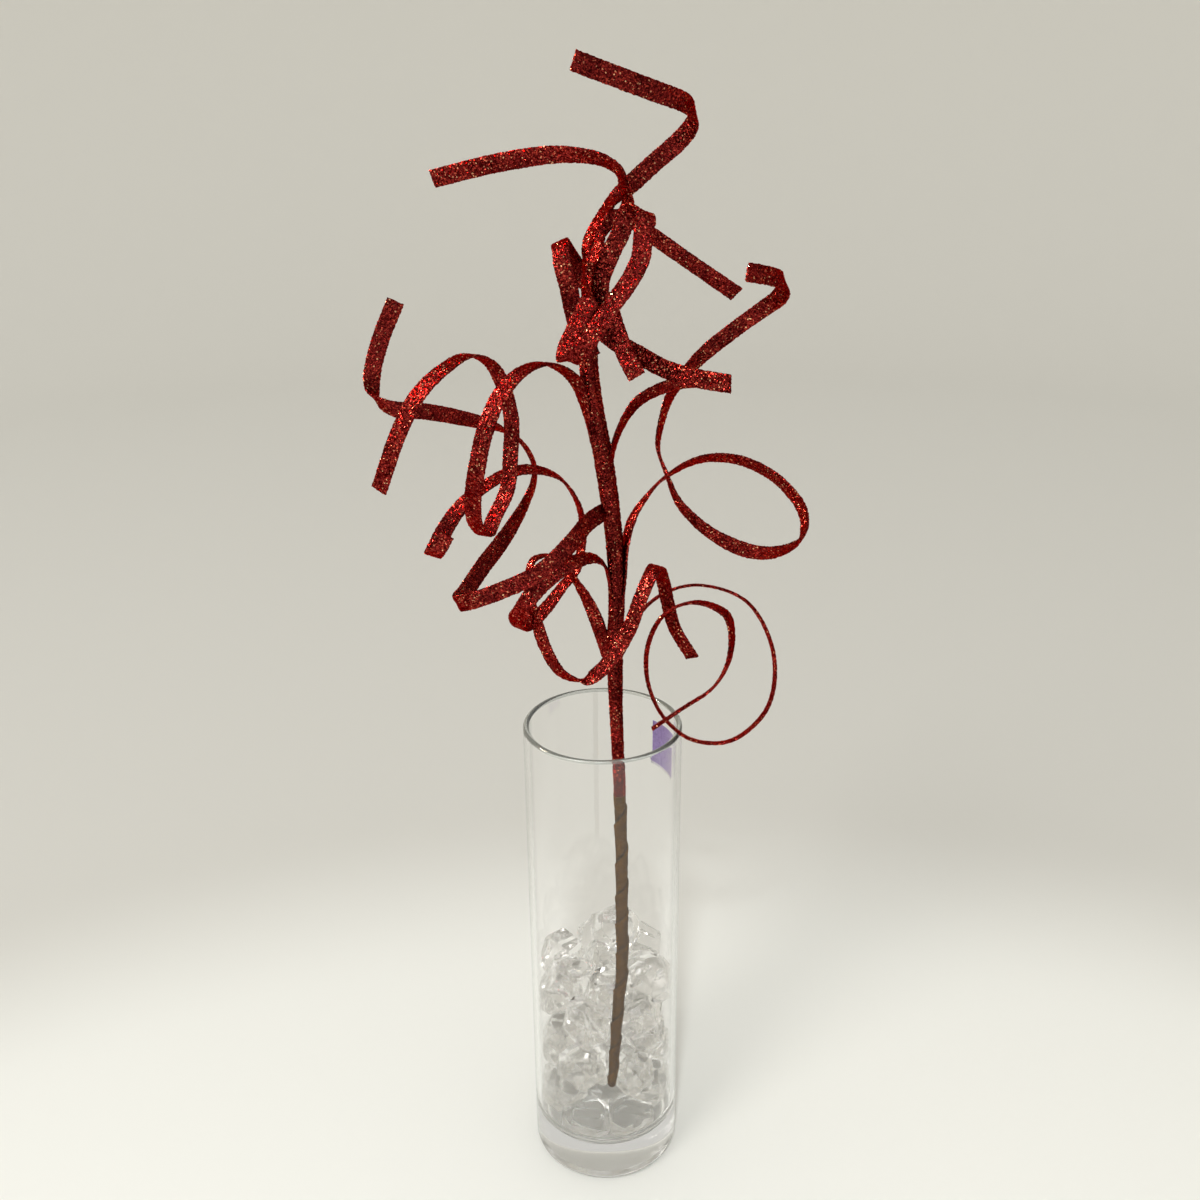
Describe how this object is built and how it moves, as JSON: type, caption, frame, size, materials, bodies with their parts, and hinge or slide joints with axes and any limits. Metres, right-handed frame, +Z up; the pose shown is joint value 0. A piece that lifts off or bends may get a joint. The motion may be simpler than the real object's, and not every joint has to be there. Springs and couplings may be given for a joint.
{
  "type": "curled glitter strip spray in a glass cylinder vase",
  "caption": "Decorative branch spray of curled red glitter strips on a taped stem, standing in a clear glass cylinder vase filled with clear ice rocks.",
  "frame": {"origin": "middle of the flat underside of the vase", "axes": "+Z up along the vase, +X to the viewer's right, viewer on the -Y side"},
  "size_m": [0.2548, 0.1229, 0.7181],
  "materials": {
    "vase_glass": "clear polished glass",
    "clear_ice": "clear faceted acrylic",
    "floral_tape": "matt crepe floral tape",
    "red_glitter": "thin strip coated in red glitter",
    "label_paper": "semi-gloss adhesive label"
  },
  "bodies": {
    "root": {"ice_rock_01": "clear_ice", "ice_rock_02": "clear_ice", "ice_rock_03": "clear_ice", "ice_rock_04": "clear_ice", "ice_rock_05": "clear_ice", "ice_rock_06": "clear_ice", "ice_rock_07": "clear_ice", "ice_rock_08": "clear_ice", "ice_rock_09": "clear_ice", "ice_rock_10": "clear_ice", "ice_rock_11": "clear_ice", "ice_rock_12": "clear_ice", "ice_rock_13": "clear_ice", "ice_rock_14": "clear_ice", "ice_rock_15": "clear_ice", "ice_rock_16": "clear_ice", "ice_rock_17": "clear_ice", "ice_rock_18": "clear_ice", "ice_rock_19": "clear_ice", "ice_rock_20": "clear_ice", "ice_rock_21": "clear_ice", "ice_rock_22": "clear_ice", "ice_rock_23": "clear_ice", "ice_rock_24": "clear_ice", "ice_rock_25": "clear_ice", "ice_rock_26": "clear_ice", "ice_rock_27": "clear_ice", "ice_rock_28": "clear_ice", "ice_rock_29": "clear_ice", "ice_rock_30": "clear_ice", "ice_rock_31": "clear_ice", "ice_rock_32": "clear_ice", "ice_rock_33": "clear_ice", "ice_rock_34": "clear_ice", "ice_rock_35": "clear_ice", "ice_rock_36": "clear_ice", "ice_rock_37": "clear_ice", "ice_rock_38": "clear_ice", "ice_rock_39": "clear_ice", "ice_rock_40": "clear_ice", "ice_rock_41": "clear_ice", "label": "label_paper", "stem_glittered": "red_glitter", "stem_taped": "floral_tape", "strip_crown_left_arc": "red_glitter", "strip_crown_left_fold": "red_glitter", "strip_crown_loop": "red_glitter", "strip_crown_right": "red_glitter", "strip_crown_top": "red_glitter", "strip_left_coil": "red_glitter", "strip_low_wrap": "red_glitter", "strip_mid_left_coil": "red_glitter", "strip_right_arc": "red_glitter", "strip_right_loop": "red_glitter", "strip_right_short": "red_glitter", "strip_right_spiral": "red_glitter", "strip_zigzag": "red_glitter", "vase": "vase_glass"}
  },
  "joints": []
}
